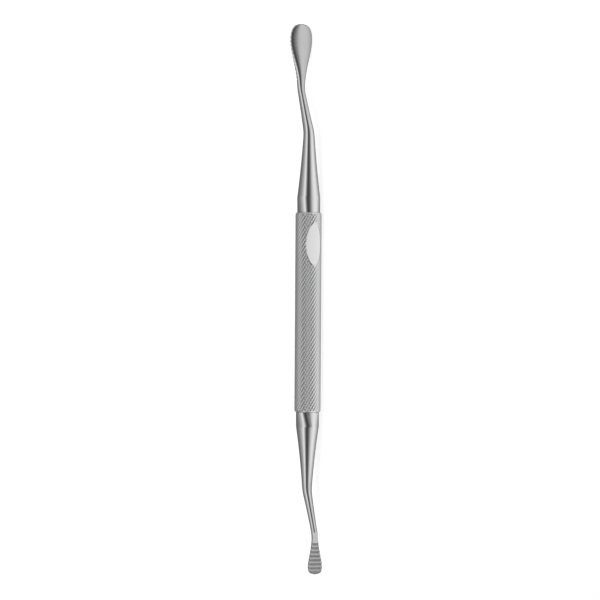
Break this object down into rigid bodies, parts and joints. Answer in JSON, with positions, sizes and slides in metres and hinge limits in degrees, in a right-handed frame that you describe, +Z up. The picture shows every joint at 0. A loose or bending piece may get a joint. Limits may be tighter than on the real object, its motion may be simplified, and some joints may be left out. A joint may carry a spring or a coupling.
{
  "type": "bone file",
  "caption": "Double-ended bone file: round knurled handle, tapering offset necks and a toothed spoon-shaped head at each end.",
  "frame": {"origin": "on the table, under the centre of the bounding box", "axes": "+X along the handle towards the large head, +Z up from the table that it lies on, +Y to the side that the large head's offset points to"},
  "size_m": [0.1779, 0.0128, 0.0085],
  "materials": {
    "knurled_steel": "satin stainless steel with a fine diamond knurl",
    "polished_steel": "polished stainless steel, satin on the heads"
  },
  "bodies": {
    "root": {"handle": "knurled_steel", "large_working_end": "polished_steel", "small_working_end": "polished_steel"}
  },
  "joints": []
}
